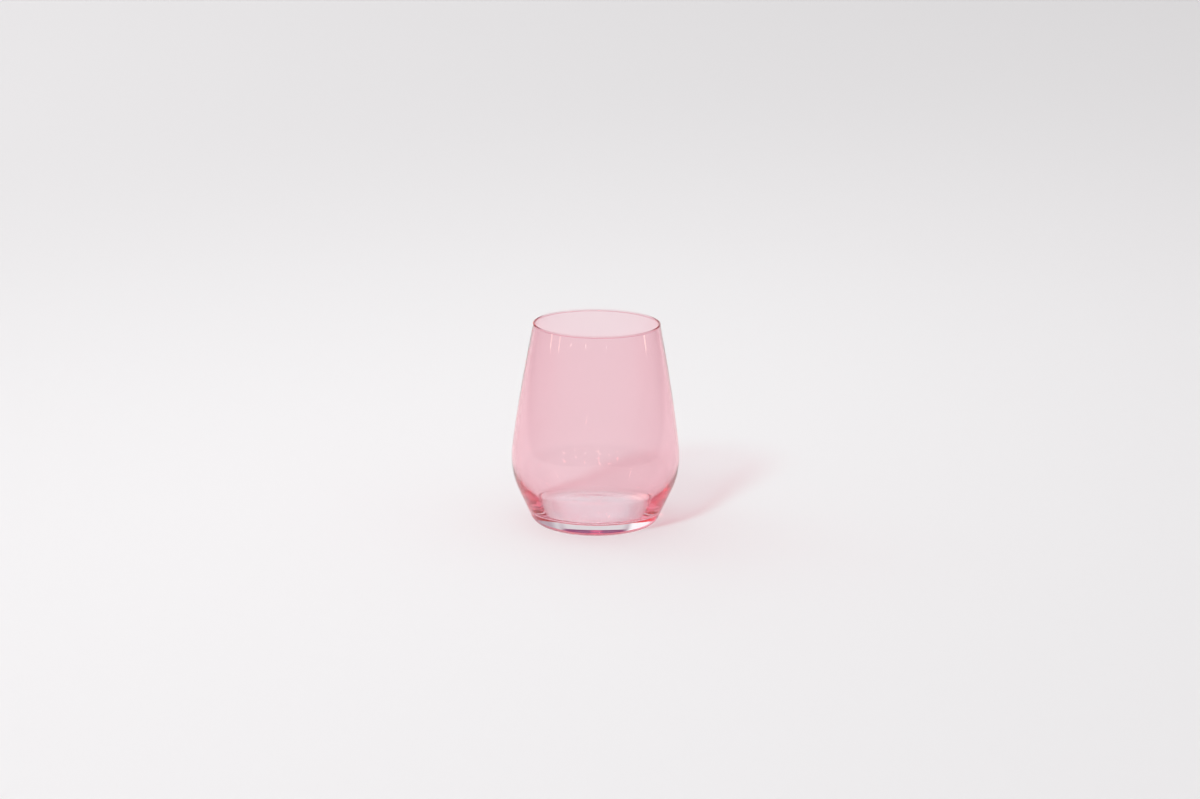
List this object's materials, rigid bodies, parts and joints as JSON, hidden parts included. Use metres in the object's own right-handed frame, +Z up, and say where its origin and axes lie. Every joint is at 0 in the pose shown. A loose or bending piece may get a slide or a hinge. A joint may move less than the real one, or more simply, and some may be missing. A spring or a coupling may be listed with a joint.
{
  "type": "stemless wine glass",
  "caption": "Stemless wine glass in cased glass: pink lined bowl, widest low down, drawn in to a thin fire-polished rim, on a thick clear base.",
  "frame": {"origin": "centre of the base on the surface that the glass stands on", "axes": "+Z up along the axis of revolution, +X and +Y any two radial directions"},
  "size_m": [0.094, 0.094, 0.114],
  "materials": {
    "clear_glass": "clear colourless glass, fire-polished",
    "base_glass": "clear colourless glass, pressed and polished, thick",
    "pink_glass": "transparent pink glass, thin even layer",
    "rim_glass": "clear over pink, melted round by fire-polishing"
  },
  "bodies": {
    "root": {"rim_bead": "rim_glass", "bowl_wall": "clear_glass", "heavy_base": "base_glass", "colour_lining": "pink_glass"}
  },
  "joints": []
}
